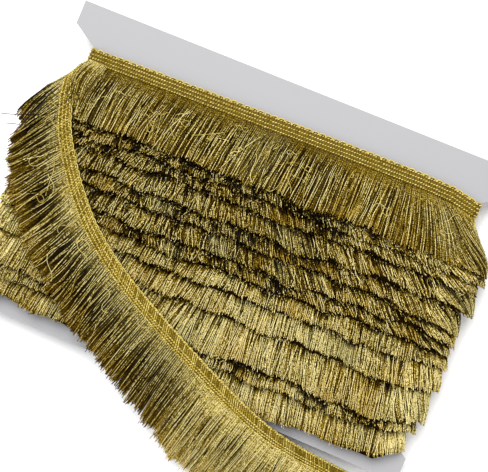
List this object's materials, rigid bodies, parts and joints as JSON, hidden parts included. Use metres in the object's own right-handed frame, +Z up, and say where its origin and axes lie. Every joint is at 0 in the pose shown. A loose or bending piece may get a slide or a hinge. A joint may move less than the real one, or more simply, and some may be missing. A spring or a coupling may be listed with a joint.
{
  "type": "brush fringe trim wound on a card",
  "caption": "Brush fringe trim with a knitted heading, wound in tiers round a notched card that lies flat, its loose end sweeping down over the front.",
  "frame": {"origin": "on the surface that the wound card lies on, under the middle of the whole object's box", "axes": "+X along the card's long side, +Y across it towards the deep header, +Z up, the way the card's front faces"},
  "size_m": [0.4104, 0.3494, 0.0479],
  "materials": {
    "card_board": "smooth coated board, bare",
    "wound_fringe": "cut twisted yarn ends in tiers, satin",
    "top_heading_knit": "chain-stitched knit, satin",
    "top_fringe_yarn": "twisted yarn, satin sheen",
    "loose_heading_knit": "chain-stitched knit, satin",
    "loose_fringe_yarn": "twisted yarn, satin sheen"
  },
  "bodies": {
    "root": {"card": "card_board", "winding": "wound_fringe", "top_heading": "top_heading_knit", "top_fringe": "top_fringe_yarn", "loose_heading": "loose_heading_knit", "loose_fringe": "loose_fringe_yarn"}
  },
  "joints": []
}
